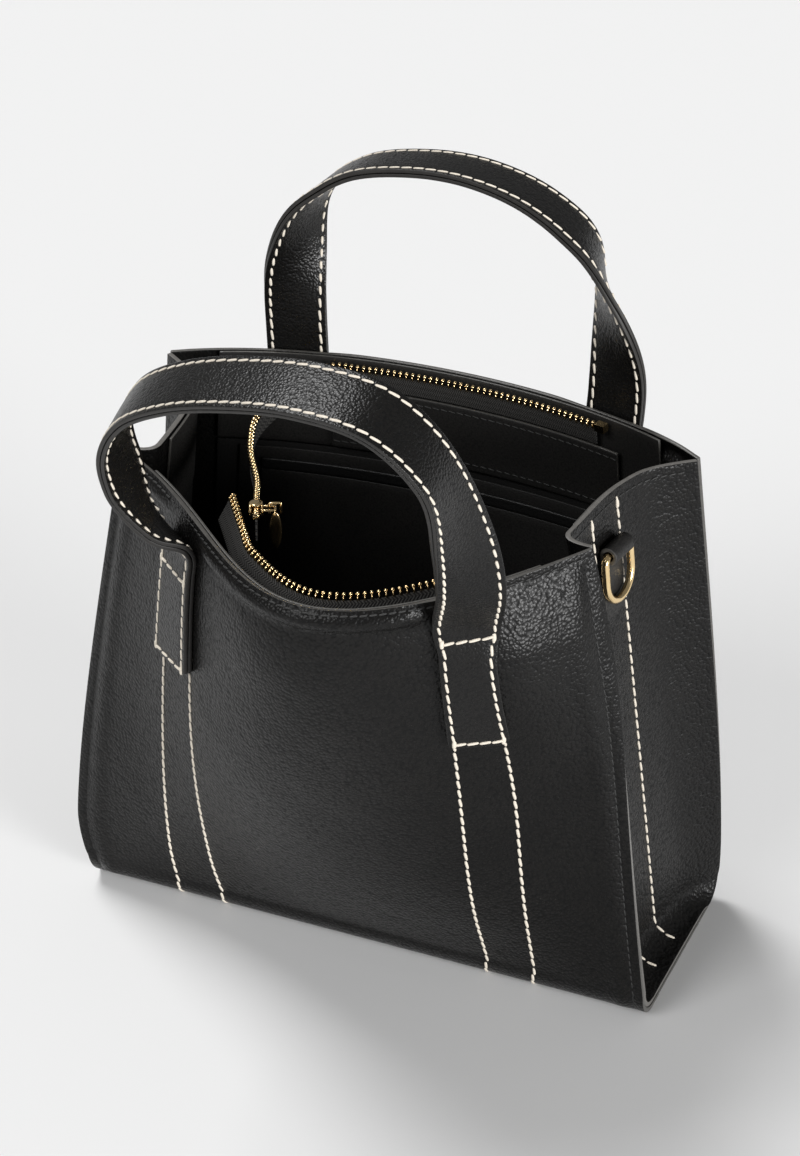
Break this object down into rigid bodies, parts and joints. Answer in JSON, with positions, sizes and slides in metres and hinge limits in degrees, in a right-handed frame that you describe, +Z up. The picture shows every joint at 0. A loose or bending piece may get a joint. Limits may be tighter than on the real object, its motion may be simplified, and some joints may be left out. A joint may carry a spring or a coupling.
{
  "type": "tote bag",
  "caption": "Small structured leather tote with two arched flat-strap handles, caved-in side gussets, side D-rings, an unzipped top zip and inner pockets, standing open on its flat base.",
  "frame": {"origin": "centre of the flat underside of the base", "axes": "+Z up, +X along the width to the right as seen from the front, -Y towards the front"},
  "size_m": [0.2431, 0.2016, 0.2948],
  "materials": {
    "leather": "pebbled grain, soft satin, black",
    "lining": "fine woven black lining",
    "zip_tape": "black woven zip tape",
    "gold_metal": "polished pale gold plate",
    "base_stiffener": "plain sheet"
  },
  "bodies": {
    "bag": {"front_panel": "leather", "back_panel": "leather", "base_panel": "leather", "gusset_left": "leather", "gusset_right": "leather", "facing_front": "leather", "facing_back": "leather", "facing_left": "leather", "facing_right": "leather", "zip_flap_front": "leather", "zip_flap_back": "leather", "patch_front_left": "leather", "patch_front_right": "leather", "patch_back_left": "leather", "patch_back_right": "leather", "leg_front_left": "leather", "leg_front_right": "leather", "leg_back_left": "leather", "leg_back_right": "leather", "ring_tab_left": "leather", "ring_tab_right": "leather", "pocket_binding": "leather", "lining_front": "lining", "lining_back": "lining", "lining_left": "lining", "lining_right": "lining", "lining_base": "lining", "slip_pocket": "lining", "patch_pocket": "lining", "zip_tape_front": "zip_tape", "zip_tape_back": "zip_tape", "zip_teeth_front": "gold_metal", "zip_teeth_back": "gold_metal", "zip_stop_front": "gold_metal", "zip_stop_back": "gold_metal", "base_board": "base_stiffener"},
    "front_handle": {"handle_front": "leather"},
    "back_handle": {"handle_back": "leather"},
    "ring_left": {"d_ring_left": "gold_metal"},
    "ring_right": {"d_ring_right": "gold_metal"},
    "slider": {"zip_slider": "gold_metal"},
    "pull": {"zip_pull": "gold_metal"}
  },
  "joints": [
    {"name": "front_handle_swing", "type": "hinge", "parent": "bag", "child": "front_handle", "pos_m": [0.00267, -0.08759, 0.20406], "axis": [0.9983, -0.0587, 0.0037], "range_deg": [-60, 95], "deforming": ["leg_front_left", "leg_front_right"]},
    {"name": "back_handle_swing", "type": "hinge", "parent": "bag", "child": "back_handle", "pos_m": [0.00094, 0.05267, 0.21308], "axis": [0.9999, -0.0117, -0.0002], "range_deg": [-95, 35], "deforming": ["leg_back_left", "leg_back_right"]},
    {"name": "d_ring_left_swing", "type": "hinge", "parent": "bag", "child": "ring_left", "pos_m": [-0.09098, -0.00917, 0.18504], "axis": [-0.142, 0.9899, 0], "range_deg": [0, 105]},
    {"name": "d_ring_right_swing", "type": "hinge", "parent": "bag", "child": "ring_right", "pos_m": [0.09098, -0.01085, 0.18551], "axis": [-0.1382, -0.9904, 0], "range_deg": [0, 105]},
    {"name": "zip_slider_slide", "type": "slide", "parent": "bag", "child": "slider", "axis": [-0.4169, 0.8949, -0.1594], "range_m": [0, 0.006]},
    {"name": "zip_pull_swing", "type": "hinge", "parent": "slider", "child": "pull", "pos_m": [-0.02213, -0.06016, 0.20324], "axis": [-0.4169, 0.8949, -0.1594], "range_deg": [-55, 12]}
  ]
}
